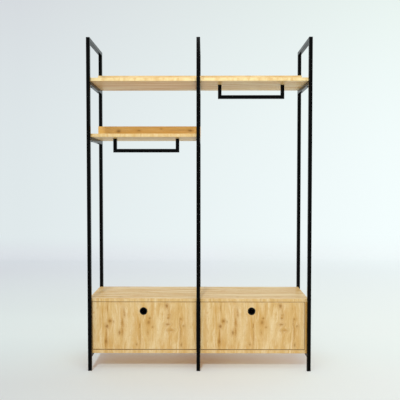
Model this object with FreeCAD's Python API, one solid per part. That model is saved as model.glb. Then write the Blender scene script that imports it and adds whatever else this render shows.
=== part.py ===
"""Open clothes rack: three steel ladder frames that carry shelves, hanger bars and a drawer cabinet.

Millimetres. X runs to the right, Y from the front to the back and Z up.
The origin is on the floor, in the middle of the rack's footprint.
"""
import FreeCAD, Part
import math
import os

from FreeCAD import Vector

# Frames: overall sizes, and the distance from one frame's centre plane to the next
frame_height = 1800.0
frame_depth = 400.0
left_bay = 590.0
right_bay = 600.0

# Square steel tube of the frames and the hanger bars
tube = 20.0
tube_wall = 1.5
tube_corner = 2.0

# Plastic glides pushed into the lower ends of the posts
glide_flange = 2.5
glide_stem = 18.0
glide_fit = 0.05
glide_ease = 0.8

# Boards, and the room between their long edges and the posts
board = 18.0
board_ease = 0.8
post_clearance = 1.0

# Heights: the upper shelf hangs below the frame tops and the lower shelf below the upper one
upper_shelf_drop = 230.0
shelf_spacing = 300.0
cabinet_clearance = 92.0
upstand_height = 68.0

# Hanger bars under the shelves, with plugs in the upper ends of their legs
hanger_length = 371.5
hanger_drop = 77.5
hanger_setback = 145.0
hanger_plug_height = 16.0
hanger_plug_fit = 0.05
hanger_plug_ease = 0.8

# Cabinet carcass between the posts, set in from the outer faces of the end frames
cabinet_height = 301.0
cabinet_left_inset = 2.0
cabinet_right_inset = 12.0
cabinet_back_thickness = 4.0

# Steel tabs on the base rails of the end frames, flush with the rail tops
tab_reach = 45.0
tab_length = 40.0
tab_thickness = 3.0
tab_corner = 8.0
tab_inset = 60.0

# Drawers: the gaps round the inset front, and the box behind it
front_gap_side = 2.0
front_gap_top = 2.5
front_gap_bottom = 4.0
drawer_board = 15.0
drawer_side_height = 190.0
drawer_back_room = 26.0
drawer_bottom_thickness = 4.0
drawer_bottom_lift = 8.0
groove_depth = 6.0
groove_fit = 0.1
groove_end_room = 0.4

# Round finger pull that lines a hole through the drawer front, a little left of its middle
pull_drop = 49.0
pull_offset = -4.5
pull_opening_diameter = 31.0
pull_wall = 2.0
pull_flange_width = 3.5
pull_flange_height = 1.8
pull_ease = 1.2
pull_fit = 0.1

# Roller runners: bent sheet profiles on the carcass walls and under the drawer sides
runner_space = 12.5
runner_sheet = 1.2
runner_lift = 10.0
runner_front_room = 3.0
runner_back_room = 10.0
track_room = 0.8
track_lip = 4.0
upper_track_width = 9.0
support_flange_height = 3.0
support_flange_width = 14.0
runner_flange_edge = 2.5

# Rollers and their riveted pins: one at the front of each carcass member, one at the back of each drawer member
roller_diameter = 16.0
roller_lip_room = 0.7
roller_face_room = 1.4
roller_side_room = 0.2
roller_track_room = 0.3
roller_top_room = 0.5
roller_pin_diameter = 5.0
roller_pin_fit = 0.06
pin_collar_diameter = 7.0
fixed_roller_room = 0.6
fixed_roller_inset = 20.0
fixed_roller_rise = 2.7
fixed_roller_gate = 3.0
drawer_roller_inset = 12.0

# Places that follow from the sizes above
X_AXIS = Vector(1, 0, 0)
Y_AXIS = Vector(0, 1, 0)
Z_AXIS = Vector(0, 0, 1)

frame_width = left_bay + right_bay + tube
left_x = (tube - frame_width) / 2
middle_x = left_x + left_bay
right_x = middle_x + right_bay
frame_xs = {"left": left_x, "middle": middle_x, "right": right_x}
outer_left = left_x - tube / 2
outer_right = right_x + tube / 2

frame_front = -frame_depth / 2
frame_back = frame_depth / 2
post_ys = {"front": frame_front + tube / 2, "rear": frame_back - tube / 2}
board_front = frame_front + tube + post_clearance
board_back = frame_back - tube - post_clearance

upper_shelf_z = frame_height - upper_shelf_drop
lower_shelf_z = upper_shelf_z - shelf_spacing

cabinet_left = outer_left + cabinet_left_inset
cabinet_right = outer_right - cabinet_right_inset
cabinet_top_z = cabinet_clearance + cabinet_height
floor_z = cabinet_clearance + board
ceiling_z = cabinet_top_z - board
carcass_back = board_back - cabinet_back_thickness
compartments = {
    "left": (cabinet_left + board, middle_x - board / 2),
    "right": (middle_x + board / 2, cabinet_right - board),
}

nodes = {}


def box(x0, x1, y0, y1, z0, z1):
    """Block between two planes along each axis, given in either order along X."""
    return Part.makeBox(abs(x1 - x0), y1 - y0, z1 - z0, Vector(min(x0, x1), y0, z0))


def panel(x0, x1, y0, y1, z0, z1):
    """Board between two corners, with its edges eased."""
    block = box(x0, x1, y0, y1, z0, z1)
    return block.makeChamfer(board_ease, block.Edges)


def turned(points):
    """Solid of revolution about Z from a closed outline of (radius, height) points."""
    corners = [Vector(radius, 0, height) for radius, height in points]
    outline = Part.makePolygon(corners + corners[:1])
    return Part.Face(outline).revolve(Vector(), Z_AXIS, 360)


def placed(shape, where, direction=Z_AXIS):
    """Copy of a shape with its own Z axis along a direction and its origin at a point."""
    copy = shape.copy()
    copy.Placement = FreeCAD.Placement(where, FreeCAD.Rotation(Z_AXIS, direction))
    return copy


def square(side):
    """Closed outline of a square centred on the origin in the XY plane."""
    half = side / 2
    corners = [Vector(-half, -half), Vector(half, -half), Vector(half, half), Vector(-half, half)]
    return Part.makePolygon(corners + corners[:1])


def rounded_square(side, radius):
    """Closed outline of a square with round corners, centred on the origin in the XY plane."""
    half = side / 2
    flat = half - radius
    middle = flat + radius * math.sqrt(0.5)
    straight = Part.LineSegment(Vector(-flat, -half), Vector(flat, -half)).toShape()
    corner = Part.Arc(Vector(flat, -half), Vector(middle, -middle), Vector(half, -flat)).toShape()
    edges = []
    for quarter in range(4):
        for edge in (straight, corner):
            edges.append(edge.copy().rotate(Vector(), Z_AXIS, 90 * quarter))
    return Part.Wire(edges)


def tube_run(start, end):
    """Straight length of square tube between two points on its centre line."""
    walls = [rounded_square(tube, tube_corner), square(tube - 2 * tube_wall)]
    section = Part.makeFace(walls, "Part::FaceMakerBullseye")
    along = end - start
    length = along.Length
    return placed(section.extrude(Z_AXIS * length), start, along / length)


def mitred(run, corner, own_way, other_way):
    """The tube cut at 45 degrees at an outer corner, where another tube runs the other way."""
    diagonal = own_way + other_way
    across = own_way.cross(other_way)
    points = [
        corner - diagonal * tube,
        corner + diagonal * (2 * tube),
        corner + other_way * (2 * tube) - own_way * tube,
    ]
    side = Part.Face(Part.makePolygon(points + points[:1]))
    side.translate(across * -tube)
    return run.cut(side.extrude(across * (2 * tube)))


# Ladder frames: two posts joined by a mitred top rail, with a rail under every shelf and the cabinet
rail_tops = {
    "upper_shelf_rail": (upper_shelf_z, ("left", "middle", "right")),
    "lower_shelf_rail": (lower_shelf_z, ("left", "middle")),
    "base_rail": (cabinet_clearance, ("left", "middle", "right")),
}
for frame, x in frame_xs.items():
    corners = {
        "front": (Vector(x, frame_front, frame_height), Y_AXIS),
        "rear": (Vector(x, frame_back, frame_height), -Y_AXIS),
    }
    top_centre = frame_height - tube / 2
    top_rail = tube_run(Vector(x, frame_front, top_centre), Vector(x, frame_back, top_centre))
    for place, (corner, inward) in corners.items():
        y = post_ys[place]
        post = tube_run(Vector(x, y, glide_flange), Vector(x, y, frame_height))
        nodes[f"{frame}_{place}_post"] = mitred(post, corner, -Z_AXIS, inward)
        top_rail = mitred(top_rail, corner, inward, -Z_AXIS)
    nodes[f"{frame}_top_rail"] = top_rail
    for rail, (top, frames) in rail_tops.items():
        if frame in frames:
            z = top - tube / 2
            nodes[f"{frame}_{rail}"] = tube_run(
                Vector(x, frame_front + tube, z), Vector(x, frame_back - tube, z)
            )

# Glides: a foot under each post with its corners cut to the tube's, and a stem inside the tube
foot = Part.Face(square(tube)).extrude(Z_AXIS * glide_flange)
foot = foot.makeChamfer(tube_corner, [edge for edge in foot.Edges if edge.BoundBox.ZLength > glide_flange / 2])
stem = Part.Face(square(tube - 2 * tube_wall - 2 * glide_fit)).extrude(Z_AXIS * glide_stem)
stem = stem.makeChamfer(glide_ease, [edge for edge in stem.Edges if edge.BoundBox.ZMin > 0])
stem.translate(Z_AXIS * glide_flange)
glide = foot.fuse(stem).removeSplitter()
nodes["foot_glides"] = Part.makeCompound(
    [placed(glide, Vector(x, y, 0)) for x in frame_xs.values() for y in post_ys.values()]
)

# Shelves with an upstand along the back: the upper one over all frames, the lower one over two
shelves = {
    "upper": (upper_shelf_z, outer_right),
    "lower": (lower_shelf_z, middle_x + tube / 2),
}
for name, (underside, right_end) in shelves.items():
    top = underside + board
    nodes[f"{name}_shelf"] = panel(outer_left, right_end, board_front, board_back, underside, top)
    nodes[f"{name}_shelf_upstand"] = panel(
        outer_left, right_end, board_back - board, board_back, top, top + upstand_height
    )

# Hanger bars: two legs and a bar mitred to a U, over the middle of each drawer
plug = Part.Face(square(tube - 2 * tube_wall - 2 * hanger_plug_fit)).extrude(Z_AXIS * -hanger_plug_height)
plug = plug.makeChamfer(hanger_plug_ease, [edge for edge in plug.Edges if edge.BoundBox.ZMax < 0])
plugs = []
hanger_y = board_front + hanger_setback
for bay, underside in (("left", lower_shelf_z), ("right", upper_shelf_z)):
    low = underside - hanger_drop
    bar_z = low + tube / 2
    centre = sum(compartments[bay]) / 2
    ends = {"left": (centre - hanger_length / 2, X_AXIS), "right": (centre + hanger_length / 2, -X_AXIS)}
    bar = tube_run(Vector(ends["left"][0], hanger_y, bar_z), Vector(ends["right"][0], hanger_y, bar_z))
    for side, (end_x, inward) in ends.items():
        corner = Vector(end_x, hanger_y, low)
        leg_foot = corner + inward * (tube / 2)
        leg_head = leg_foot + Z_AXIS * hanger_drop
        nodes[f"{bay}_hanger_{side}_leg"] = mitred(tube_run(leg_foot, leg_head), corner, Z_AXIS, inward)
        bar = mitred(bar, corner, inward, Z_AXIS)
        plugs.append(placed(plug, leg_head))
    nodes[f"{bay}_hanger_bar"] = bar
nodes["hanger_plugs"] = Part.makeCompound(plugs)

# Tabs on the base rails of the end frames, which the cabinet bottom is screwed to from below
tabs = []
for rail_x, inward in ((left_x, 1), (right_x, -1)):
    root = rail_x + inward * tube / 2
    tip = root + inward * tab_reach
    for y in (frame_front + tube + tab_inset, frame_back - tube - tab_inset):
        tab = box(root, tip, y - tab_length / 2, y + tab_length / 2,
                  cabinet_clearance - tab_thickness, cabinet_clearance)
        free_corners = [
            edge for edge in tab.Edges
            if edge.BoundBox.ZLength > tab_thickness / 2 and abs(edge.BoundBox.Center.x - tip) < tab_corner
        ]
        tabs.append(tab.makeChamfer(tab_corner, free_corners))
nodes["cabinet_tabs"] = Part.makeCompound(tabs)

# Cabinet carcass: the top lies over the sides, the bottom and the divider stand between them
nodes["cabinet_top"] = panel(cabinet_left, cabinet_right, board_front, board_back, ceiling_z, cabinet_top_z)
nodes["cabinet_bottom"] = panel(
    cabinet_left + board, cabinet_right - board, board_front, carcass_back, cabinet_clearance, floor_z
)
for side, x in (("left", cabinet_left), ("right", cabinet_right - board)):
    nodes[f"cabinet_{side}_side"] = panel(
        x, x + board, board_front, carcass_back, cabinet_clearance, ceiling_z
    )
nodes["cabinet_divider"] = panel(
    middle_x - board / 2, middle_x + board / 2, board_front, carcass_back, floor_z, ceiling_z
)
nodes["cabinet_back"] = box(
    cabinet_left, cabinet_right, carcass_back, board_back, cabinet_clearance, ceiling_z
)

# Drawer boxes reach from the back of their fronts to a gap before the carcass back
front_back = board_front + board
side_back = carcass_back - drawer_back_room
runner_length = side_back - front_back - runner_back_room
runner_z = floor_z + runner_lift

# Runner sections as (distance from the carcass wall, height), and the heights at which the rollers run
web = runner_space - runner_sheet
track_width = web - track_room
roller_radius = roller_diameter / 2
drawer_roller_lane = runner_sheet + roller_face_room
roller_width = track_width - runner_sheet - roller_lip_room - drawer_roller_lane
drawer_pin_collar = web - drawer_roller_lane - roller_width - roller_side_room
drawer_roller_height = runner_sheet + roller_track_room + roller_radius
fixed_roller_height = drawer_roller_height + fixed_roller_rise
upper_track = drawer_roller_height + roller_radius + roller_top_room
runner_flange = fixed_roller_height + roller_radius + roller_track_room
support_top = support_flange_height + runner_sheet
carcass_section = [
    (0, 0),
    (track_width, 0),
    (track_width, track_lip),
    (track_width - runner_sheet, track_lip),
    (track_width - runner_sheet, runner_sheet),
    (runner_sheet, runner_sheet),
    (runner_sheet, upper_track),
    (upper_track_width, upper_track),
    (upper_track_width, upper_track + runner_sheet),
    (0, upper_track + runner_sheet),
]
drawer_section = [
    (web, support_flange_height),
    (runner_space + support_flange_width, support_flange_height),
    (runner_space + support_flange_width, support_top),
    (runner_space, support_top),
    (runner_space, runner_flange + runner_sheet),
    (runner_flange_edge, runner_flange + runner_sheet),
    (runner_flange_edge, runner_flange),
    (web, runner_flange),
]
carcass_member_front = front_back + runner_front_room
fixed_roller_y = carcass_member_front + fixed_roller_inset
drawer_roller_y = front_back + runner_length - drawer_roller_inset

roller_bore = roller_pin_diameter / 2 + roller_pin_fit
roller = turned([
    (roller_bore, 0),
    (roller_radius, 0),
    (roller_radius, roller_width),
    (roller_bore, roller_width),
])
fixed_pin_length = fixed_roller_room + roller_width
fixed_pin = Part.makeCylinder(roller_pin_diameter / 2, fixed_pin_length)
drawer_pin_length = drawer_pin_collar + roller_side_room + roller_width
drawer_pin = turned([
    (0, 0),
    (pin_collar_diameter / 2, 0),
    (pin_collar_diameter / 2, drawer_pin_collar),
    (roller_pin_diameter / 2, drawer_pin_collar),
    (roller_pin_diameter / 2, drawer_pin_length),
    (0, drawer_pin_length),
])


def runner_profile(section, wall, inward, front):
    """Bent profile of a section along Y, on a carcass wall that faces the inward way."""
    corners = [Vector(wall + inward * reach, front, runner_z + height) for reach, height in section]
    return Part.Face(Part.makePolygon(corners + corners[:1])).extrude(Y_AXIS * runner_length)


def build_runners(name, x0, x1):
    """The runners of a drawer: a pair of carcass members, a pair of drawer members and their rollers."""
    carcass_members = []
    drawer_members = []
    fixed_rollers = []
    drawer_rollers = []
    for wall, inward in ((x0, 1), (x1, -1)):
        way = X_AXIS * inward
        member = runner_profile(carcass_section, wall, inward, carcass_member_front)
        gate = box(wall + inward * runner_sheet, wall + inward * upper_track_width,
                   carcass_member_front, fixed_roller_y + roller_radius + fixed_roller_gate,
                   runner_z + upper_track, runner_z + upper_track + runner_sheet)
        pin_foot = Vector(wall, fixed_roller_y, runner_z + fixed_roller_height) + way * runner_sheet
        pin = placed(fixed_pin, pin_foot, way)
        carcass_members.append(member.cut(gate).fuse(pin).removeSplitter())
        fixed_rollers.append(placed(roller, pin_foot + way * fixed_roller_room, way))

        member = runner_profile(drawer_section, wall, inward, front_back)
        pin_foot = Vector(wall, drawer_roller_y, runner_z + drawer_roller_height) + way * web
        pin = placed(drawer_pin, pin_foot, -way)
        drawer_members.append(member.fuse(pin).removeSplitter())
        drawer_rollers.append(placed(roller, pin_foot - way * (drawer_pin_collar + roller_side_room), -way))
    nodes[f"{name}_carcass_runners"] = Part.makeCompound(carcass_members)
    nodes[f"{name}_drawer_runners"] = Part.makeCompound(drawer_members)
    nodes[f"{name}_fixed_rollers"] = Part.makeCompound(fixed_rollers)
    nodes[f"{name}_drawer_rollers"] = Part.makeCompound(drawer_rollers)


# Finger pull along +Z, with the drawer front's face at the origin: a bevelled flange and a sleeve behind it
opening = pull_opening_diameter / 2
sleeve = opening + pull_wall
flange = sleeve + pull_flange_width
pull = turned([
    (opening, -pull_flange_height),
    (flange - pull_ease, -pull_flange_height),
    (flange, 0),
    (sleeve, 0),
    (sleeve, board),
    (opening, board),
])


def build_drawer(name, x0, x1):
    """Inset front with its finger pull, and a box of two sides, a back and a grooved-in bottom."""
    front_top = ceiling_z - front_gap_top
    pull_seat = Vector((x0 + x1) / 2 + pull_offset, board_front, front_top - pull_drop)
    side_low = runner_z + support_top
    side_high = side_low + drawer_side_height
    inner_x0 = x0 + runner_space + drawer_board
    inner_x1 = x1 - runner_space - drawer_board
    bottom_low = side_low + drawer_bottom_lift
    bottom_high = bottom_low + drawer_bottom_thickness
    tongue = groove_depth - groove_end_room
    groove = box(inner_x0 - groove_depth, inner_x1 + groove_depth, front_back - groove_depth, side_back,
                 bottom_low - groove_fit, bottom_high + groove_fit)

    front = panel(x0 + front_gap_side, x1 - front_gap_side, board_front, front_back,
                  floor_z + front_gap_bottom, front_top)
    pull_hole = Part.makeCylinder(sleeve + pull_fit, board, pull_seat, Y_AXIS)
    nodes[f"{name}_drawer_front"] = front.cut(pull_hole).cut(groove)
    nodes[f"{name}_drawer_pull"] = placed(pull, pull_seat, Y_AXIS)
    for side, x in (("left", x0 + runner_space), ("right", inner_x1)):
        wall = panel(x, x + drawer_board, front_back, side_back, side_low, side_high)
        nodes[f"{name}_drawer_{side}_side"] = wall.cut(groove)
    nodes[f"{name}_drawer_bottom"] = box(inner_x0 - tongue, inner_x1 + tongue, front_back - tongue, side_back,
                                         bottom_low, bottom_high)
    nodes[f"{name}_drawer_back"] = panel(inner_x0, inner_x1, side_back - drawer_board, side_back,
                                         bottom_high, side_high)


for compartment, (x0, x1) in compartments.items():
    build_runners(compartment, x0, x1)
    build_drawer(compartment, x0, x1)

stop = drawer_roller_y - fixed_roller_y - math.sqrt(roller_diameter ** 2 - fixed_roller_rise ** 2)
print(f"overall {frame_width} x {frame_depth} x {frame_height}, rollers meet after {stop:.1f}")

os.makedirs("parts", exist_ok=True)
for name, shape in nodes.items():
    shape.exportStep(f"parts/{name}.step")
print(f"{len(nodes)} nodes")
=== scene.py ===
"""Open clothes rack of black steel ladder frames with oak boards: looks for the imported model."""
import math

import bpy
from mathutils import Matrix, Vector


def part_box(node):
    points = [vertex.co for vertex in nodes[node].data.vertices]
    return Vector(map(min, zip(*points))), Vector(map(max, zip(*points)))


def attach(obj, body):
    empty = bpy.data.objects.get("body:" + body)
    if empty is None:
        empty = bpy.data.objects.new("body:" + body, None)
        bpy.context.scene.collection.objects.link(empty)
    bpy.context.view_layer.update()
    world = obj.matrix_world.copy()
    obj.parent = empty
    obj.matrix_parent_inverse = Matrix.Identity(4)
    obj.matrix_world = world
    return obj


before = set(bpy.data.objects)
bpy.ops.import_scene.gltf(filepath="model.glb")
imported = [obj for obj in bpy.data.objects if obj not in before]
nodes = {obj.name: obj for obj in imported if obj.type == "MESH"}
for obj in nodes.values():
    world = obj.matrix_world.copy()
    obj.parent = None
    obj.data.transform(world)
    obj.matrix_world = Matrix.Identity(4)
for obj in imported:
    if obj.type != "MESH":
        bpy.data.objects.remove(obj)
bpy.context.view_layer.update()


# Ladder frames: two posts and their rails of 20 mm square steel tube, mitred at the top, welded and
# ground flush, then powder coated black as one piece. The coat is smooth and fairly glossy, with the
# faint orange peel that such a coat always has.
def add(tree, kind, *fed, **settings):
    """Add a shader node. Settings are its properties or named inputs, and fed fills its inputs in order."""
    made = tree.nodes.new(kind)
    inputs = list(enumerate(fed))
    for name, value in settings.items():
        if hasattr(made, name):
            setattr(made, name, value)
        else:
            inputs.append((name.replace("_", " "), value))
    for key, value in inputs:
        if isinstance(value, bpy.types.NodeSocket):
            tree.links.new(value, made.inputs[key])
        else:
            made.inputs[key].default_value = value
    return made


def mixed(tree, share, first, second, data="RGBA", blend="MIX"):
    """A mix of two colours, or of two values where data is FLOAT."""
    return add(tree, "ShaderNodeMix", data_type=data, blend_type=blend, Factor=share, A=first,
               B=second).outputs["Result"]


def run_of(tree, value, low, high, start=0.0, end=1.0, kind="LINEAR"):
    """How far a value has come between two levels, as a number that goes from a start to an end."""
    return add(tree, "ShaderNodeMapRange", value, low, high, start, end, interpolation_type=kind).outputs["Result"]


def srgb(red, green, blue):
    """A colour read off a screen, as the linear colour that a shader takes."""
    def linear(value):
        value /= 255
        return value / 12.92 if value <= 0.04045 else ((value + 0.055) / 1.055) ** 2.4
    return (linear(red), linear(green), linear(blue), 1)


def new_group(name, inputs, outputs):
    """An empty node group with named sockets: the group, the outputs of its input node and its output node."""
    group = bpy.data.node_groups.new(name, "ShaderNodeTree")
    for label, kind, value in inputs:
        socket = group.interface.new_socket(label, in_out="INPUT", socket_type="NodeSocket" + kind)
        if value is not None:
            socket.default_value = value
    for label, kind in outputs:
        group.interface.new_socket(label, in_out="OUTPUT", socket_type="NodeSocket" + kind)
    return group, add(group, "NodeGroupInput").outputs, add(group, "NodeGroupOutput")


def new_finish(name):
    """A new material with its node tree and its shader."""
    made = bpy.data.materials.new(name)
    made.use_nodes = True
    return made, made.node_tree, made.node_tree.nodes["Principled BSDF"]


def dress(material, names):
    """Give CAD nodes a material."""
    for name in names:
        for held in nodes[name].material_slots:
            held.material = material


cloud_scale = 9
cloud_low, cloud_high = 0.32, 0.68
skin_depth = 0.0004
skin, given, result = new_group(
    "coat_skin",
    (("Vector", "Vector", None), ("Dark", "Color", None), ("Light", "Color", None), ("Smooth", "Float", 0.2),
     ("Rough", "Float", 0.3), ("Grain", "Float", 700.0)),
    (("Color", "Color"), ("Roughness", "Float"), ("Height", "Float")))
clouds = add(skin, "ShaderNodeTexNoise", Vector=given["Vector"], Scale=cloud_scale, Detail=3)
spread = run_of(skin, clouds.outputs["Fac"], cloud_low, cloud_high)
tint = mixed(skin, spread, given["Dark"], given["Light"])
gloss = mixed(skin, spread, given["Smooth"], given["Rough"], "FLOAT")
peel = add(skin, "ShaderNodeTexNoise", Vector=given["Vector"], Scale=given["Grain"], Detail=1)
skin.links.new(tint, result.inputs["Color"])
skin.links.new(gloss, result.inputs["Roughness"])
skin.links.new(peel.outputs["Fac"], result.inputs["Height"])


def coated(name, dark, light, smooth, rough, grain, relief, shine, stretch=(1, 1, 1), metal=0):
    """A coat or moulded surface whose tint and gloss drift a little over a fine pebbled skin."""
    material, tree, shader = new_finish(name)
    place = add(tree, "ShaderNodeTexCoord")
    drawn = add(tree, "ShaderNodeMapping", place.outputs["Object"], Scale=stretch)
    surface = add(tree, "ShaderNodeGroup", node_tree=skin, Vector=drawn.outputs["Vector"], Dark=dark, Light=light,
                  Smooth=smooth, Rough=rough, Grain=grain)
    bump = add(tree, "ShaderNodeBump", Height=surface.outputs["Height"], Strength=relief, Distance=skin_depth)
    tree.links.new(surface.outputs["Color"], shader.inputs["Base Color"])
    tree.links.new(surface.outputs["Roughness"], shader.inputs["Roughness"])
    tree.links.new(bump.outputs["Normal"], shader.inputs["Normal"])
    shader.inputs["Specular IOR Level"].default_value = shine
    shader.inputs["Metallic"].default_value = metal
    return material


steel_coat = coated("black_powder_coat", srgb(2, 2, 2), srgb(4, 4, 4), smooth=0.17, rough=0.22, grain=700,
                    relief=0.004, shine=0.055)
dress(steel_coat, [name for name in nodes if name.endswith(("_post", "_rail"))])

# Welds: the rails are welded to the inner faces of the posts, with a short rippled bead left under each
# rail end. It is coated with the frame.
weld_length = 0.0176
weld_radius = 0.0023
weld_ripples = 9
weld_hollow = 0.86
weld_end = 0.45
weld_sides = 10
weld_sink = 0.0007
post_inner_face = 0.18
smooth_angle = 40


def built_up(sides, rings):
    """A round piece raised ring by ring from a disc; each ring is a radius and a height."""
    radius, height = rings[0]
    bpy.ops.object.select_all(action="DESELECT")
    bpy.ops.mesh.primitive_circle_add(vertices=sides, radius=radius, fill_type="NGON", location=(0, 0, height))
    piece = bpy.context.object
    bpy.ops.object.transform_apply(location=True)
    bpy.ops.object.mode_set(mode="EDIT")
    bpy.ops.mesh.select_all(action="SELECT")
    for next_radius, next_height in rings[1:]:
        bpy.ops.mesh.extrude_region_move(TRANSFORM_OT_translate={"value": (0, 0, next_height - height)})
        share = next_radius / radius
        bpy.ops.transform.resize(value=(share, share, 1), center_override=(0, 0, next_height))
        radius, height = next_radius, next_height
    bpy.ops.mesh.select_all(action="SELECT")
    bpy.ops.mesh.normals_make_consistent(inside=False)
    bpy.ops.object.mode_set(mode="OBJECT")
    bpy.ops.object.shade_smooth_by_angle(angle=math.radians(smooth_angle))
    return piece


def turned_mesh(piece, axis, degrees):
    """Turn a piece's mesh about an axis through the origin."""
    piece.data.transform(Matrix.Rotation(math.radians(degrees), 4, axis))


def set_out(pattern, places, material, body_of):
    """Copy a modelled piece to its named places, each copy with its own mesh, and put the pattern away."""
    for name, place in places.items():
        piece = pattern.copy()
        piece.data = pattern.data.copy()
        piece.name = piece.data.name = name
        piece.data.transform(Matrix.Translation(place))
        piece.data.materials.append(material)
        bpy.context.collection.objects.link(piece)
        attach(piece, body_of(name))
    bpy.data.objects.remove(pattern, do_unlink=True)


def on_rack(name):
    """The body of every piece that is fixed to the rack."""
    return "rack"


rings = [(weld_end * weld_radius, -weld_length / 2)]
step = weld_length / (2 * weld_ripples)
for half in range(1, 2 * weld_ripples):
    swell = 1.0 if half % 2 else weld_hollow
    rings.append((swell * weld_radius, half * step - weld_length / 2))
rings.append((weld_end * weld_radius, weld_length / 2))
bead = built_up(weld_sides, rings)
turned_mesh(bead, "Y", 90)
weld_places = {}
for name in nodes:
    if name.endswith("_rail"):
        low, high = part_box(name)
        middle = (low[0] + high[0]) / 2
        for end, way in (("front", -1), ("rear", 1)):
            weld_places[f"{name}_{end}_weld"] = (middle, way * (post_inner_face - weld_sink), low[2] - weld_sink)
set_out(bead, weld_places, steel_coat, on_rack)

# Glides: small feet moulded in black plastic, pushed into the lower ends of the posts so that the
# tube doesn't scratch the floor. The plugs in the hanger legs are moulded in the same plastic.
moulded_black = coated("moulded_black", srgb(6, 6, 7), srgb(10, 10, 11), smooth=0.45, rough=0.55, grain=1400,
                       relief=0.1, shine=0.15)
dress(moulded_black, ["foot_glides", "hanger_plugs"])

# Shelves and upstands: 18 mm board faced with a light knotty oak decor under a satin lacquer. The decor is
# printed in sheets: its grain runs along the flat faces and the upstands, and upright on every edge. Painted light
# is laid over it: the upper shelf drifts to amber along its left half, painted warm light bounced up from the lower
# shelf; the front edges are painted paler, most on the higher boards, for the brighter light there; and the lower
# upstand is painted warmer, for the warm bounce light in the upper shelf's shadow.
oak_cream = srgb(235, 212, 163)
oak_honey = srgb(221, 187, 122)
oak_amber = srgb(206, 158, 79)
oak_streak = srgb(174, 122, 36)
oak_heart = srgb(128, 82, 12)
# painted warm bounce light: the gold that a board in shade is drawn towards
bounce_gold = srgb(240, 187, 78)
# a painted highlight: the pale tone that the front edges are drawn towards, more on the higher boards
edge_highlight_tint = srgb(240, 220, 163)
satin_rough, fibre_rough = 0.39, 0.12
fibre_relief, fibre_depth = 0.05, 0.0003
sheet_left = -0.647
sheet_right = -0.035
squarely = 0.6
oak, given, result = new_group(
    "oak_decor",
    (("Vector", "Vector", None), ("Normal", "Vector", None), ("Shift", "Vector", None), ("Knots", "Float", 0.35),
     ("Turned", "Float", 0.0), ("Edging", "Float", 0.0), ("Warm", "Float", 0.0), ("BounceDrift", "Float", 0.0),
     ("Knot", "Float", 0.0), ("Streak", "Float", 0.0), ("Band", "Float", 0.0), ("Pale", "Float", 0.0),
     ("Bend", "Float", 0.0)),
    (("Color", "Color"), ("Roughness", "Float"), ("Height", "Float")))


def reckoned(tree, kind, *fed):
    """The result of a sum on values."""
    return add(tree, "ShaderNodeMath", *fed, operation=kind).outputs[0]


def parted(tree, vector):
    """The three numbers of a vector."""
    return add(tree, "ShaderNodeSeparateXYZ", vector).outputs


def chosen(share, first, second):
    """The first value, or the second one where the share is 1."""
    return mixed(oak, share, first, second, "FLOAT")


# the sheet's own directions on each face of a board: across the grain, along it, and which face it is
lying_layer = 1.3
place = parted(oak, given["Vector"])
size = add(oak, "ShaderNodeVectorMath", given["Normal"], operation="ABSOLUTE")
facing = parted(oak, size.outputs["Vector"])
lying = reckoned(oak, "GREATER_THAN", facing["Z"], squarely)
ending = reckoned(oak, "GREATER_THAN", facing["X"], squarely)
fronting = reckoned(oak, "GREATER_THAN", facing["Y"], squarely)
turned = reckoned(oak, "MULTIPLY", fronting, given["Turned"])
upright = reckoned(oak, "SUBTRACT", fronting, turned)
lengthwise = reckoned(oak, "ADD", lying, turned)
# the front edges painted paler, a painted highlight
lit_edge = reckoned(oak, "MULTIPLY", fronting, given["Edging"])
repeat = reckoned(oak, "WRAP", place["X"], sheet_right, sheet_left)
across = chosen(upright, chosen(turned, place["Y"], place["Z"]), repeat)
along = chosen(lengthwise, place["Z"], place["X"])
layer = reckoned(oak, "MULTIPLY_ADD", lying, lying_layer, ending)
laid = add(oak, "ShaderNodeCombineXYZ", across, layer, along)
sheet = add(oak, "ShaderNodeVectorMath", laid.outputs[0], given["Shift"], operation="ADD")
parts = parted(oak, sheet.outputs["Vector"])

# knots scattered over the sheet, and fewer of them on the front edges that are painted paler for light
knots_per_metre = 7
knot_stretch = 0.42
knot_small, knot_large = 0.02, 0.055
bend_most, bend_reach = 0.8, 0.2
drawn_out = reckoned(oak, "MULTIPLY_ADD", parts["Z"], knot_stretch, parts["Y"])
strewn = add(oak, "ShaderNodeCombineXYZ", parts["X"], drawn_out)
seeds = add(oak, "ShaderNodeTexVoronoi", voronoi_dimensions="2D", Vector=strewn.outputs["Vector"],
            Scale=knots_per_metre)
pick = add(oak, "ShaderNodeSeparateColor", seeds.outputs["Color"])
off_lit_edge = reckoned(oak, "SUBTRACT", 1.0, lit_edge)
rare = reckoned(oak, "LESS_THAN", pick.outputs["Red"], reckoned(oak, "MULTIPLY", given["Knots"], off_lit_edge))
girth = run_of(oak, pick.outputs["Green"], 0.0, 1.0, knot_small, knot_large)
core = run_of(oak, seeds.outputs["Distance"], 0.0, girth, 1.0, 0.0, "SMOOTHSTEP")
knot = reckoned(oak, "MULTIPLY", core, rare)
offset = add(oak, "ShaderNodeVectorMath", strewn.outputs["Vector"], seeds.outputs["Position"], operation="SUBTRACT")
hold = run_of(oak, seeds.outputs["Distance"], 0.0, bend_reach, bend_most, 0.0, "SMOOTHERSTEP")
bend = reckoned(oak, "MULTIPLY_ADD", parted(oak, offset.outputs["Vector"])["X"],
                reckoned(oak, "MULTIPLY", hold, rare), given["Bend"])


# grain lines: slow swings that open into arches, a finer waver, and the bend round the knots
def stretched(source, across_rate, along_rate, detail):
    """Noise that is stretched along the grain."""
    rate = add(oak, "ShaderNodeVectorMath", source.outputs[0], (across_rate, 1, along_rate), operation="MULTIPLY")
    return add(oak, "ShaderNodeTexNoise", Vector=rate.outputs["Vector"], Scale=1, Detail=detail,
               Roughness=0.58).outputs["Fac"]


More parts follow.
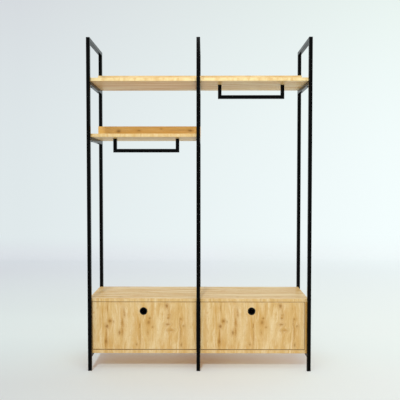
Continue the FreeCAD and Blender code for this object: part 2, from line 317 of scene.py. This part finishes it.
swing_width, waver_width = 0.12, 0.012
swung = reckoned(oak, "MULTIPLY_ADD", stretched(sheet, 6, 1.3, 2), swing_width, parts["X"])
wavered = reckoned(oak, "MULTIPLY_ADD", stretched(sheet, 30, 9, 1), waver_width, swung)
flow = add(oak, "ShaderNodeCombineXYZ", reckoned(oak, "SUBTRACT", wavered, bend), parts["Y"], parts["Z"])


def grain(across_rate, along_rate, detail):
    """Noise that follows the grain lines, by its rates across and along them and its detail."""
    return stretched(flow, across_rate, along_rate, detail)


def tinted(colour, strength, tint):
    """A colour that is drawn towards a tint."""
    return mixed(oak, strength, colour, tint)


def level(value, low, high, most):
    """A value spread between two levels, up to a most."""
    return run_of(oak, value, low, high, 0.0, most)


def larger(one, other):
    """The larger of two values."""
    return reckoned(oak, "MAXIMUM", one, other)


# the decor's masks, from the broad tone to the pores, and the tints that are laid over each other with them
tone = add(oak, "ShaderNodeValToRGB", grain(48, 5, 4))
amber_stop, cream_stop = tone.color_ramp.elements
amber_stop.position, amber_stop.color = 0.30, oak_amber
cream_stop.position, cream_stop.color = 0.66, oak_cream
tone.color_ramp.elements.new(0.46).color = oak_honey
fibre = grain(700, 20, 2)
amber_lines = larger(level(grain(110, 11, 3), 0.54, 0.7, 0.75), level(fibre, 0.45, 0.75, 0.4))
cream_lines = level(grain(90, 12, 2), 0.57, 0.7, 0.65)
thin_lines = level(grain(260, 34, 2), 0.56, 0.7, 0.6)
pores = level(grain(1500, 90, 0), 0.62, 0.72, 0.45)
dark_lines = larger(pores, level(grain(80, 9, 3), 0.62, 0.74, 0.75))
dark_lines = reckoned(oak, "MULTIPLY", dark_lines, chosen(lengthwise, 0.7, 1.0))
long_amber = reckoned(oak, "MULTIPLY", lengthwise, level(grain(24, 2.0, 6), 0.47, 0.58, 0.9))
long_cream = reckoned(oak, "MULTIPLY", lengthwise, level(grain(28, 1.8, 6), 0.5, 0.6, 0.9))
lit_edge_flecks = reckoned(oak, "MULTIPLY", lit_edge, level(grain(34, 22, 2), 0.44, 0.66, 0.7))
dark_knot = larger(knot, given["Knot"])
knot_ring = larger(level(dark_knot, 0.0, 0.4, 0.65), given["Streak"])
knot_heart = level(dark_knot, 0.3, 0.9, 0.7)
colour = tone.outputs["Color"]
# the amber drift, the warm tint and the pale edging below are painted light: warm bounce, and brighter light on the
# higher edges
for strength, tint in (
        (given["Band"], oak_amber), (given["Pale"], oak_cream), (amber_lines, oak_amber), (cream_lines, oak_cream),
        (thin_lines, oak_amber), (dark_lines, oak_streak), (long_amber, oak_amber), (long_cream, oak_cream),
        (given["BounceDrift"], oak_amber), (given["Warm"], bounce_gold), (lit_edge, edge_highlight_tint), (lit_edge_flecks, oak_amber),
        (knot_ring, oak_streak), (knot_heart, oak_heart)):
    colour = tinted(colour, strength, tint)
oak.links.new(colour, result.inputs["Color"])
oak.links.new(reckoned(oak, "MULTIPLY_ADD", fibre, fibre_rough, satin_rough), result.inputs["Roughness"])
oak.links.new(fibre, result.inputs["Height"])

# the painted warm bounce light on the upper shelf runs between these places, right and left of the middle
bounce_drift_reach = 0.15


def oak_faced(name, shift, figure=None, slide=0, painted_bounce_left=0, **settings):
    """Board faced with the decor; shift is the part of the sheet that it was cut from, slide moves its figure aside.

    A board can carry painted warm bounce light: its tone drifts by so much to amber from its middle to the left.
    """
    material, tree, shader = new_finish(name)
    place = add(tree, "ShaderNodeTexCoord")
    slid = add(tree, "ShaderNodeMapping", place.outputs["Object"], (-slide, 0, 0))
    if figure:
        marks = add(tree, "ShaderNodeGroup", node_tree=figure, Vector=slid.outputs["Vector"],
                    Normal=place.outputs["Normal"])
        settings.update({output.name: output for output in marks.outputs})
    if painted_bounce_left:
        along = parted(tree, place.outputs["Object"])["X"]
        settings["BounceDrift"] = run_of(tree, along, bounce_drift_reach, -bounce_drift_reach, 0.0, painted_bounce_left)
    decor = add(tree, "ShaderNodeGroup", node_tree=oak, Vector=slid.outputs["Vector"],
                Normal=place.outputs["Normal"], Shift=shift, **settings)
    bump = add(tree, "ShaderNodeBump", Height=decor.outputs["Height"], Strength=fibre_relief, Distance=fibre_depth)
    tree.links.new(decor.outputs["Color"], shader.inputs["Base Color"])
    tree.links.new(decor.outputs["Roughness"], shader.inputs["Roughness"])
    tree.links.new(bump.outputs["Normal"], shader.inputs["Normal"])
    return material


# one mark: an oval with an uneven rim. The place that is passed on from mark to mark carries the strength so far
# as its second number, and a knot draws the grain round itself
mark_spread = 1.6
rim_unevenness = 1.6
rim_inner, rim_outer = 0.8, 1.8
mark_reach = 2.6
mark, given, result = new_group(
    "oak_mark",
    (("Place", "Vector", None), ("Ripple", "Float", 0.5), ("Centre", "Vector", None), ("Rate", "Vector", None),
     ("Depth", "Float", 1.0), ("Rim", "Float", 0.0), ("Draw", "Float", 0.0)),
    (("Place", "Vector"),))
away = add(mark, "ShaderNodeVectorMath", given["Place"], given["Centre"], operation="SUBTRACT")
oval = add(mark, "ShaderNodeVectorMath", away.outputs["Vector"], given["Rate"], operation="MULTIPLY")
radius = add(mark, "ShaderNodeVectorMath", oval.outputs["Vector"], operation="LENGTH").outputs["Value"]
uneven = reckoned(mark, "MULTIPLY_ADD", given["Ripple"], rim_unevenness, radius)
inside = run_of(mark, uneven, rim_inner, rim_outer, 1.0, 0.0, "SMOOTHSTEP")
hold = run_of(mark, radius, 0.0, mark_reach, 1.0, 0.0, "SMOOTHERSTEP")
depth = reckoned(mark, "MULTIPLY", mixed(mark, given["Rim"], inside, hold, "FLOAT"), given["Depth"])
split = parted(mark, given["Place"])
strongest = reckoned(mark, "MAXIMUM", depth, split["Y"])
drawn = reckoned(mark, "MULTIPLY", hold, given["Draw"])
shift = reckoned(mark, "MULTIPLY", parted(mark, away.outputs["Vector"])["X"], drawn)
passed = add(mark, "ShaderNodeCombineXYZ", reckoned(mark, "SUBTRACT", split["X"], shift), strongest, split["Z"])
mark.links.new(passed.outputs[0], result.inputs["Place"])

figure_sway, sway_scale = 0.012, 22
ripple_scale = 260
knot_rim, streak_rim, band_rim = 0.35, 0.1, 0.4
millimetres = 1000


def figure_of(name, knots, streaks, bands, pale, draw):
    """The figure of a sheet's front faces as a node group, from the places of its marks in millimetres."""
    figure, given, result = new_group(
        name, (("Vector", "Vector", None), ("Normal", "Vector", None)),
        (("Knot", "Float"), ("Streak", "Float"), ("Band", "Float"), ("Pale", "Float"), ("Bend", "Float")))
    place = parted(figure, given["Vector"])
    fronting = reckoned(figure, "LESS_THAN", parted(figure, given["Normal"])["Y"], -squarely)
    repeat = reckoned(figure, "WRAP", place["X"], sheet_right, sheet_left)
    flat = add(figure, "ShaderNodeCombineXYZ", X=repeat, Z=place["Z"])
    sway = add(figure, "ShaderNodeTexNoise", Vector=flat.outputs[0], Scale=sway_scale, Detail=2)
    swayed = reckoned(figure, "MULTIPLY_ADD", sway.outputs["Fac"], figure_sway, repeat)
    evened = reckoned(figure, "SUBTRACT", swayed, figure_sway / 2)
    laid = add(figure, "ShaderNodeCombineXYZ", X=evened, Z=place["Z"])
    ripple = add(figure, "ShaderNodeTexNoise", Vector=flat.outputs[0], Scale=ripple_scale, Detail=2)

    def marks_of(places, rim, draw):
        """A run of marks, each joined to the one before: the place as they bend it, with their strength in it."""
        passed = laid.outputs[0]
        for x, z, half_width, half_length, depth in places:
            rate = (millimetres / (mark_spread * half_width), 0, millimetres / (mark_spread * half_length))
            passed = add(figure, "ShaderNodeGroup", node_tree=mark, Place=passed, Ripple=ripple.outputs["Fac"],
                         Centre=(x / millimetres, 0, z / millimetres), Rate=rate, Depth=depth, Rim=rim,
                         Draw=draw).outputs["Place"]
        return parted(figure, passed)

    def show(output, value):
        """Put a value out of the figure, on the front faces only."""
        figure.links.new(reckoned(figure, "MULTIPLY", value, fronting), result.inputs[output])

    drawn_in = marks_of(knots, knot_rim, draw)
    show("Knot", drawn_in["Y"])
    show("Bend", reckoned(figure, "SUBTRACT", evened, drawn_in["X"]))
    show("Streak", marks_of(streaks, streak_rim, 0)["Y"])
    show("Band", marks_of(bands, band_rim, 0)["Y"])
    show("Pale", marks_of(pale, band_rim, 0)["Y"])
    return figure


# marks of the lower upstand, in millimetres across and up, with half width, half length and strength
upstand_knots = (
    (-485, 1327, 8, 6, 1.0), (-58, 1331, 10, 4, 0.9), (-362, 1331, 9, 4, 0.6), (-231, 1341, 5, 4, 0.4))
upstand_streaks = (
    (-560, 1338, 60, 30, 0.33), (-440, 1330, 60, 3, 0.3), (-120, 1333, 80, 3, 0.35), (-300, 1349, 110, 3, 0.25))
upstand_bands = ((-480, 1329, 50, 7, 0.5), (-330, 1327, 90, 6, 0.5), (-90, 1332, 60, 7, 0.45))
upstand_pale = ((-250, 1343, 60, 8, 0.4),)
upstand_figure = figure_of("upstand_figure", upstand_knots, upstand_streaks, upstand_bands, upstand_pale, 0)
dress(oak_faced("oak_upper_shelf_painted_light", (0.2, 0.4, 0.7), painted_bounce_left=0.3, Edging=0.85), ["upper_shelf"])
dress(oak_faced("oak_lower_shelf", (1.2, 0.9, 0.1), Edging=0.25), ["lower_shelf"])
dress(oak_faced("oak_upper_upstand", (0.7, 2.4, 0.3), Turned=1.0, Edging=0.45), ["upper_shelf_upstand"])
# the lower upstand is painted warmer: painted warm bounce light in the upper shelf's shadow
dress(oak_faced("oak_lower_upstand_painted_bounce", (0.9, 3.4, 0.5), upstand_figure, Turned=1.0, Warm=0.65),
      ["lower_shelf_upstand"])

# Shelf screws: two black pan-head screws with a cross recess come up through each shelf rail from below
# and hold the shelf down on it.
screw_radius = 0.004
screw_height = 0.0026
screw_sides = 20
screw_sink = 0.0003
recess_length = 0.0048
recess_width = 0.0011
screw_reach = 0.1


def cut_away(piece, cutter):
    """Take a cutter's shape out of a piece, and put the cutter away."""
    bite = piece.modifiers.new("bite", "BOOLEAN")
    bite.operation = "DIFFERENCE"
    bite.object = cutter
    bpy.ops.object.select_all(action="DESELECT")
    bpy.context.view_layer.objects.active = piece
    bpy.ops.object.modifier_apply(modifier="bite")
    bpy.data.objects.remove(cutter, do_unlink=True)


def cross_recess(piece, length, width, depth, top):
    """Cut a cross for a screwdriver into the top of a round head."""
    for size in ((length, width), (width, length)):
        bpy.ops.object.select_all(action="DESELECT")
        bpy.ops.mesh.primitive_cube_add(size=1, location=(0, 0, top))
        cutter = bpy.context.object
        cutter.scale = (size[0], size[1], 2 * depth)
        bpy.ops.object.transform_apply(location=True, scale=True)
        cut_away(piece, cutter)


def under(names):
    """Places of two screws under each rail."""
    places = {}
    for name in names:
        low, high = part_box(name)
        for end, y in (("front", -screw_reach), ("rear", screw_reach)):
            places[f"{name}_{end}_screw"] = ((low[0] + high[0]) / 2, y, low[2])
    return places


def screw_up(places):
    """Put a pan-head screw into each named place from below."""
    head = built_up(screw_sides, [
        (screw_radius, -screw_sink), (screw_radius, 0.45 * screw_height), (0.9 * screw_radius, 0.75 * screw_height),
        (0.68 * screw_radius, 0.93 * screw_height), (0.35 * screw_radius, screw_height)])
    cross_recess(head, recess_length, recess_width, 0.6 * screw_height, screw_height)
    turned_mesh(head, "X", 180)
    set_out(head, places, steel_coat, on_rack)


screw_up(under([name for name in nodes if name.endswith("_shelf_rail")]))

# Hanger bars: a U of the same square tube under each shelf, mitred and coated like the frames, and held
# by a black button-head bolt with a washer, which goes down through the shelf into the plug of each leg.
dress(steel_coat, [name for name in nodes if "_hanger_" in name])
washer_radius = 0.009
washer_height = 0.0012
washer_sink = 0.0002
bolt_radius = 0.0056
bolt_height = 0.0046
bolt_sides = 28
socket_radius = 0.0023
bolt = built_up(bolt_sides, [
    (washer_radius, -washer_sink), (washer_radius, 0.8 * washer_height), (0.96 * washer_radius, washer_height),
    (bolt_radius, washer_height), (bolt_radius, 0.5 * bolt_height), (0.92 * bolt_radius, 0.75 * bolt_height),
    (0.76 * bolt_radius, 0.93 * bolt_height), (0.55 * bolt_radius, bolt_height)])
bpy.ops.object.select_all(action="DESELECT")
bpy.ops.mesh.primitive_cylinder_add(vertices=6, radius=socket_radius, depth=0.9 * bolt_height,
                                    location=(0, 0, bolt_height))
socket = bpy.context.object
bpy.ops.object.transform_apply(location=True)
cut_away(bolt, socket)
bolt_places = {}
for bay, shelf in (("left", "lower_shelf"), ("right", "upper_shelf")):
    for side in ("left", "right"):
        low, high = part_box(f"{bay}_hanger_{side}_leg")
        bolt_places[f"{bay}_hanger_{side}_bolt"] = ((low[0] + high[0]) / 2, (low[1] + high[1]) / 2,
                                                    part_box(shelf)[1][2])
set_out(bolt, bolt_places, steel_coat, on_rack)

# Cabinet carcass: top, bottom, sides and divider of the same board, with the front edges in the figure of the drawer
# fronts, and the right side's front edge painted darker: painted shade beside the right post. The places are read
# off the left front, in millimetres across and up, with half width, half length and strength; the printed sheet
# repeats them on the right one.
front_knots = (
    (-488, 269, 6, 7, 0.8), (-471, 265, 4, 5, 0.5), (-505, 240, 6, 7, 0.9), (-435, 205, 5, 9, 0.7),
    (-507, 157, 4.5, 12, 0.85), (-343, 140, 4, 5, 0.55), (-409, 302, 4, 7, 0.5), (-178, 353, 6, 9, 0.75),
    (-271, 284, 4, 4, 0.75), (-276, 262, 7, 8, 0.6), (-256, 236, 4, 4, 0.5),
    (-165, 303, 7, 5, 0.35), (-167, 285, 6, 6, 0.5), (-172, 251, 11, 5, 0.55), (-157, 219, 14, 6, 0.35),
    (-101, 280, 5, 5, 0.55), (-87, 242, 7, 6, 0.4), (-99, 138, 4.5, 9, 0.6), (-281, 207, 4, 8, 0.35))
front_streaks = (
    (-500, 338, 3, 26, 0.85), (-508, 195, 3, 42, 1.0), (-511, 132, 3, 22, 0.9), (-409, 317, 6, 26, 0.65),
    (-419, 258, 6, 26, 0.85), (-420, 213, 5.5, 28, 0.75), (-326, 244, 3.5, 17, 1.0), (-323, 183, 4, 55, 0.65),
    (-108, 258, 4, 30, 0.65), (-102, 207, 6, 50, 0.6), (-112, 337, 4, 12, 0.35), (-167, 331, 5, 18, 0.4))
# the last two bands darken long strips along the inner edges of the posts: painted shade of the posts
front_bands = (
    (-498, 195, 22, 80, 0.5), (-501, 149, 18, 40, 0.6), (-447, 124, 12, 18, 0.7), (-420, 291, 12, 75, 0.65),
    (-430, 370, 12, 20, 0.7), (-341, 184, 17, 80, 0.6), (-327, 169, 10, 60, 0.5), (-277, 254, 14, 50, 0.55),
    (-166, 289, 14, 70, 0.55), (-86, 205, 20, 80, 0.5), (-93, 239, 12, 60, 0.4), (-583, 240, 6, 200, 0.5),
    (-633, 250, 5, 300, 0.5))
front_pale = (
    (-455, 280, 16, 85, 0.45), (-387, 195, 17, 70, 0.6), (-452, 350, 12, 26, 0.4), (-372, 350, 12, 30, 0.5),
    (-567, 198, 10, 80, 0.5), (-212, 230, 22, 70, 0.5), (-187, 195, 7, 18, 0.8), (-202, 327, 10, 16, 0.6),
    (-148, 350, 12, 16, 0.5), (-42, 270, 14, 130, 0.8), (-142, 130, 10, 12, 0.5), (-197, 170, 10, 24, 0.5))
knot_draw = 0.8
front_figure = figure_of("front_figure", front_knots, front_streaks, front_bands, front_pale, knot_draw)
dress(oak_faced("oak_carcass", (0, 0, 0), front_figure),
      ["cabinet_top", "cabinet_bottom", "cabinet_left_side", "cabinet_divider"])
# the right side's front edge is darkened by a streak and a strong band: painted shade beside the right post
right_edge_shade_streaks = ((-641, 250, 8, 300, 0.55),)
right_edge_shade_bands = ((-641, 258, 9, 300, 1.0),)
side_figure = figure_of("right_side_figure", (), right_edge_shade_streaks, right_edge_shade_bands, (), 0)
dress(oak_faced("oak_right_side_painted_shade", (0, 0, 0), side_figure), ["cabinet_right_side"])

# Tabs and base screws: the cabinet stands on the base rails and is held from below by black screws, through
# the steel tabs of the end frames and up through the middle rail.
dress(steel_coat, ["cabinet_tabs"])
tab_middle = 0.5625
tab_place = 0.12
tab_thickness = 0.003
base_places = under(["middle_base_rail"])
for side, x in (("left", -tab_middle), ("right", tab_middle)):
    for end, y in (("front", -tab_place), ("rear", tab_place)):
        base_places[f"{side}_{end}_tab_screw"] = (x, y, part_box("cabinet_tabs")[1][2] - tab_thickness)
screw_up(base_places)

# Cabinet back: a thin sheet of smooth brown hardboard behind the carcass, held by a row of flat-headed
# zinc-plated nails along the bottom board; those into the sides and the divider are behind the posts.
hardboard = coated("brown_hardboard", srgb(156, 122, 86), srgb(169, 136, 98), smooth=0.5, rough=0.62, grain=260,
                   relief=0.12, shine=0.35, stretch=(16, 16, 16))
dress(hardboard, ["cabinet_back"])
zinc = coated("zinc_plate", srgb(150, 152, 155), srgb(176, 178, 181), smooth=0.3, rough=0.42, grain=900,
              relief=0.05, shine=0.5, metal=1)
nail_radius = 0.0026
nail_height = 0.0008
nail_sides = 14
nail_sink = 0.0002
nail_row = 0.009
nail_spacing = 0.15
nails_in_bay = 4
first_nails = {"left": -0.53, "right": 0.065}
nail = built_up(nail_sides, [(nail_radius, -nail_sink), (nail_radius, 0.45 * nail_height),
                             (0.82 * nail_radius, 0.85 * nail_height), (0.4 * nail_radius, nail_height)])
turned_mesh(nail, "X", -90)
low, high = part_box("cabinet_back")
nail_places = {}
for bay, first in first_nails.items():
    for number in range(nails_in_bay):
        nail_places[f"back_{bay}_nail_{number + 1}"] = (first + number * nail_spacing, high[1], low[2] + nail_row)
set_out(nail, nail_places, zinc, on_rack)

# Drawers: inset fronts of the oak board with the grain upright, and boxes behind them of plain pale board
# with a hardboard bottom in grooves. A black plastic finger pull lines a round hole in each front.
right_front_slide = 0.0065
dress(oak_faced("oak_left_front", (0, 0, 0), front_figure, Knots=0.0), ["left_drawer_front"])
dress(oak_faced("oak_right_front", (0, 0, 0), front_figure, right_front_slide, Knots=0.0), ["right_drawer_front"])
box_dark = srgb(205, 183, 144)
box_light = srgb(219, 199, 162)
box_finish = {"smooth": 0.36, "rough": 0.46, "grain": 240, "relief": 0.04, "shine": 0.4}
dress(coated("pale_side_board", box_dark, box_light, stretch=(9, 0.7, 9), **box_finish),
      [name for name in nodes if "_drawer_" in name and name.endswith("_side")])
dress(coated("pale_back_board", box_dark, box_light, stretch=(0.7, 9, 9), **box_finish),
      ["left_drawer_back", "right_drawer_back"])
dress(hardboard, ["left_drawer_bottom", "right_drawer_bottom"])
dress(moulded_black, ["left_drawer_pull", "right_drawer_pull"])

# Cams: each drawer side is drawn up to its front by two round cams, turned with a screwdriver. They are cast
# in zinc and let into the inner face of the side, near the front.
cam_radius = 0.0074
cam_height = 0.0004
cam_sides = 28
cam_sink = 0.0015
cam_setback = 0.034
cam_slot = 0.009
cam_slot_width = 0.0016
cam_slot_depth = 0.0012
cam_rises = {"lower": 0.05, "upper": 0.145}


def on_drawer(name):
    """The drawer that a piece is named after."""
    return "left_drawer" if name.startswith("left_drawer") else "right_drawer"


for side, way in (("left", 1), ("right", -1)):
    cam = built_up(cam_sides, [(cam_radius, -cam_sink), (cam_radius, 0.4 * cam_height),
                               (0.94 * cam_radius, cam_height)])
    cross_recess(cam, cam_slot, cam_slot_width, cam_slot_depth, cam_height)
    turned_mesh(cam, "Y", 90 * way)
    cam_places = {}
    for drawer in ("left", "right"):
        low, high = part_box(f"{drawer}_drawer_{side}_side")
        face = high[0] if way > 0 else low[0]
        for row, rise in cam_rises.items():
            cam_places[f"{drawer}_drawer_{side}_{row}_cam"] = (face, low[1] + cam_setback, low[2] + rise)
    set_out(cam, cam_places, zinc, on_drawer)

# Runners: members bent from sheet steel with a pale grey coat, screwed to the carcass and to the lower edges
# of the drawer sides. The rollers between them are moulded in white nylon.
runner_coat = coated("runner_grey_coat", srgb(196, 197, 196), srgb(206, 207, 206), smooth=0.35, rough=0.45,
                     grain=900, relief=0.05, shine=0.5)
dress(runner_coat, [name for name in nodes if name.endswith("_runners")])
nylon = coated("roller_nylon", srgb(226, 225, 220), srgb(235, 234, 229), smooth=0.4, rough=0.5, grain=1500,
               relief=0.08, shine=0.5)
dress(nylon, [name for name in nodes if name.endswith("_rollers")])

# Stage: a pale floor that sweeps up into a pale backdrop far behind the rack. The floor takes the rack's shadow;
# the backdrop glows as a lit studio wall does. Both carry painted light: they are paler to the right.
floor_half = 9.0
floor_front = -9.0
floor_back = 4.46
wall_height = 7.0
sweep = 0.35
bpy.ops.object.select_all(action="DESELECT")
bpy.ops.mesh.primitive_plane_add(size=1)
stage = bpy.context.object
stage.name = "studio_floor"
bpy.ops.object.mode_set(mode="EDIT")
bpy.ops.transform.resize(value=(2 * floor_half, floor_back - floor_front, 1))
bpy.ops.transform.translate(value=(0, (floor_back + floor_front) / 2, 0))
bpy.ops.mesh.select_all(action="DESELECT")
bpy.ops.object.mode_set(mode="OBJECT")
for edge in stage.data.edges:
    edge.select = all(stage.data.vertices[i].co.y > 0 for i in edge.vertices)
bpy.ops.object.mode_set(mode="EDIT")
bpy.ops.mesh.select_mode(type="EDGE")
bpy.ops.mesh.extrude_region_move(TRANSFORM_OT_translate={"value": (0, 0, wall_height)})
bpy.ops.mesh.select_all(action="DESELECT")
bpy.ops.object.mode_set(mode="OBJECT")
for edge in stage.data.edges:
    ends = [stage.data.vertices[i].co for i in edge.vertices]
    edge.select = all(end.y > 0 and end.z < 1 for end in ends)
bpy.ops.object.mode_set(mode="EDIT")
bpy.ops.mesh.bevel(offset=sweep, segments=12)
bpy.ops.object.mode_set(mode="OBJECT")
bpy.ops.object.shade_smooth()

pale, tree, shader = new_finish("studio_pale")
shader.inputs["Roughness"].default_value = 0.95
shader.inputs["Specular IOR Level"].default_value = 0.05
place = add(tree, "ShaderNodeTexCoord")
where = parted(tree, place.outputs["Object"])

# painted light on the floor: it is palest behind the rack, and paler to the right; its tint spreads out with the
# distance
near_line, rack_line, behind_line, far_line = -0.4, 0.5, 1.0, 3.3
near_half, far_half = 1.1, 2.3
half_width = run_of(tree, where["Y"], near_line, far_line, near_half, far_half)
rightward = run_of(tree, reckoned(tree, "DIVIDE", where["X"], half_width), -1.0, 1.0)
near_tint = mixed(tree, rightward, srgb(218, 225, 227), srgb(246, 247, 247))
middle_tint = mixed(tree, rightward, srgb(232, 242, 243), srgb(250, 254, 253))
far_tint = mixed(tree, rightward, srgb(219, 223, 231), srgb(242, 246, 250))
floor_tint = mixed(tree, run_of(tree, where["Y"], near_line, rack_line), near_tint, middle_tint)
floor_tint = mixed(tree, run_of(tree, where["Y"], behind_line, far_line), floor_tint, far_tint)
tree.links.new(floor_tint, shader.inputs["Base Color"])

# what the camera and a polished surface see of the floor has painted light that lifts the shadow: painted warm
# light as from the boards, and painted plain light under the cabinet from behind and from the right, with painted
# shade beside the middle post. The lit floor keeps its tone
shadow_warmth = (0.22, 0.092, 0.045, 1)
far_shadow = (0.11, 0.105, 0.1, 1)
warm_end, far_start = 0.2, 0.6
back_light, back_low, back_high = 0.05, -0.15, 0.05
side_light, side_low, side_high, side_curve = 0.145, 0.08, 0.5, 1.5
middle_shade, middle_reach = -0.045, 0.2
white = (1, 1, 1, 1)
per_lit_floor = mixed(tree, rightward, (1.46, 1.353, 1.389, 1), (1.25, 1.1, 1.14, 1))
from_behind = reckoned(tree, "MULTIPLY", run_of(tree, where["Y"], back_low, back_high), back_light)
from_right = reckoned(tree, "POWER", run_of(tree, where["X"], side_low, side_high), side_curve)
by_middle_post = run_of(tree, reckoned(tree, "ABSOLUTE", where["X"]), middle_reach, 0.0)
plain_light = reckoned(tree, "MULTIPLY_ADD", from_right, side_light, from_behind)
plain_light = reckoned(tree, "MULTIPLY_ADD", by_middle_post, middle_shade, plain_light)
warm_light = mixed(tree, run_of(tree, where["Y"], warm_end, far_start), shadow_warmth, far_shadow)
lifted_by = mixed(tree, 1.0, warm_light, plain_light, blend="ADD")
lit_loss = mixed(tree, 1.0, lifted_by, per_lit_floor, blend="MULTIPLY")
lit_share = mixed(tree, 1.0, white, lit_loss, blend="SUBTRACT")
seen = add(tree, "ShaderNodeBsdfDiffuse", Color=mixed(tree, 1.0, floor_tint, lit_share, blend="MULTIPLY"))
lift = add(tree, "ShaderNodeEmission", Color=lifted_by, Strength=1)
lifted = add(tree, "ShaderNodeAddShader", seen.outputs["BSDF"], lift.outputs["Emission"])


def looked_at(tree):
    """1 where the camera, a reflection or glass looks at a surface, and 0 for all other light."""
    ray = add(tree, "ShaderNodeLightPath").outputs
    seen = reckoned(tree, "MAXIMUM", ray["Is Camera Ray"], ray["Is Glossy Ray"])
    return reckoned(tree, "MAXIMUM", seen, ray["Is Transmission Ray"])


floor = add(tree, "ShaderNodeMixShader", looked_at(tree), shader.outputs["BSDF"], lifted.outputs["Shader"])

# the backdrop, with painted light: paler to the right and a little darker to the top
wall_half = 2.4
wall_fade, fade_curve = 3.4, 2.2
sweep_top = 0.3
across_wall = run_of(tree, where["X"], -wall_half, wall_half)
upward = reckoned(tree, "POWER", run_of(tree, where["Z"], 0.0, wall_fade), fade_curve)
wall_left = mixed(tree, upward, srgb(224, 233, 235), srgb(214, 219, 223))
wall_right = mixed(tree, upward, srgb(244, 254, 254), srgb(233, 244, 240))
glow = add(tree, "ShaderNodeEmission", Color=mixed(tree, across_wall, wall_left, wall_right), Strength=1)
rise = run_of(tree, where["Z"], 0.0, sweep_top, kind="SMOOTHSTEP")
swept = add(tree, "ShaderNodeMixShader", rise, floor.outputs["Shader"], glow.outputs["Emission"])
tree.links.new(swept.outputs["Shader"], tree.nodes["Material Output"].inputs["Surface"])
stage.data.materials.append(pale)

# Light: a broad soft sky all round, slightly warm, and a far main lamp from the front, a little to the left.
# A small weak lamp hangs near the rack, above its front.
sky_colour, sky_strength = (1.0, 0.94, 0.87, 1), 0.6
backdrop_colour = srgb(232, 241, 243)
world = bpy.data.worlds.new("studio_world")
bpy.context.scene.world = world
world.use_nodes = True
tree = world.node_tree
sky = tree.nodes["Background"]
sky.inputs["Color"].default_value = sky_colour
sky.inputs["Strength"].default_value = sky_strength
backdrop = add(tree, "ShaderNodeBackground", Color=backdrop_colour, Strength=1)
shown = add(tree, "ShaderNodeMixShader", looked_at(tree), sky.outputs["Background"], backdrop.outputs["Background"])
tree.links.new(shown.outputs["Shader"], tree.nodes["World Output"].inputs["Surface"])


def hung_lamp(name, kind, strength):
    """A lamp and the object that holds it in the scene."""
    lamp = bpy.data.lights.new(name, kind)
    lamp.energy = strength
    holder = bpy.data.objects.new(name, lamp)
    bpy.context.collection.objects.link(holder)
    return lamp, holder


lamp_height, lamp_left, lamp_width = 41, 8, 6
lamp, holder = hung_lamp("front_lamp", "SUN", 1.25)
lamp.color = (0.97, 1.0, 1.04)
lamp.angle = math.radians(lamp_width)
holder.rotation_euler = (math.radians(90 - lamp_height), 0, math.radians(-lamp_left))
near_lamp_place, near_lamp_tilt = (0.05, -1.1, 2.1), 45
lamp, holder = hung_lamp("near_lamp", "AREA", 5.0)
lamp.shape = "RECTANGLE"
lamp.size, lamp.size_y = 0.8, 0.2
holder.location = near_lamp_place
holder.rotation_euler = (math.radians(near_lamp_tilt), 0, 0)

# Camera: at the photograph's place, about waist high and almost straight in front of the rack. It is an
# ordinary lens with no shift, fitted to the posts, the shelves and the cabinet.
camera_lens, camera_sensor = 54.06, 36
camera_place = (0.0295, -3.4277, 1.0449)
camera_tilt, camera_turn = 87.966, 0.447
camera = bpy.data.objects.new("camera", bpy.data.cameras.new("camera"))
bpy.context.collection.objects.link(camera)
camera.data.lens = camera_lens
camera.data.sensor_width = camera_sensor
camera.location = camera_place
camera.rotation_euler = (math.radians(camera_tilt), 0, math.radians(camera_turn))
bpy.context.scene.camera = camera
bpy.context.scene.view_settings.view_transform = "Standard"
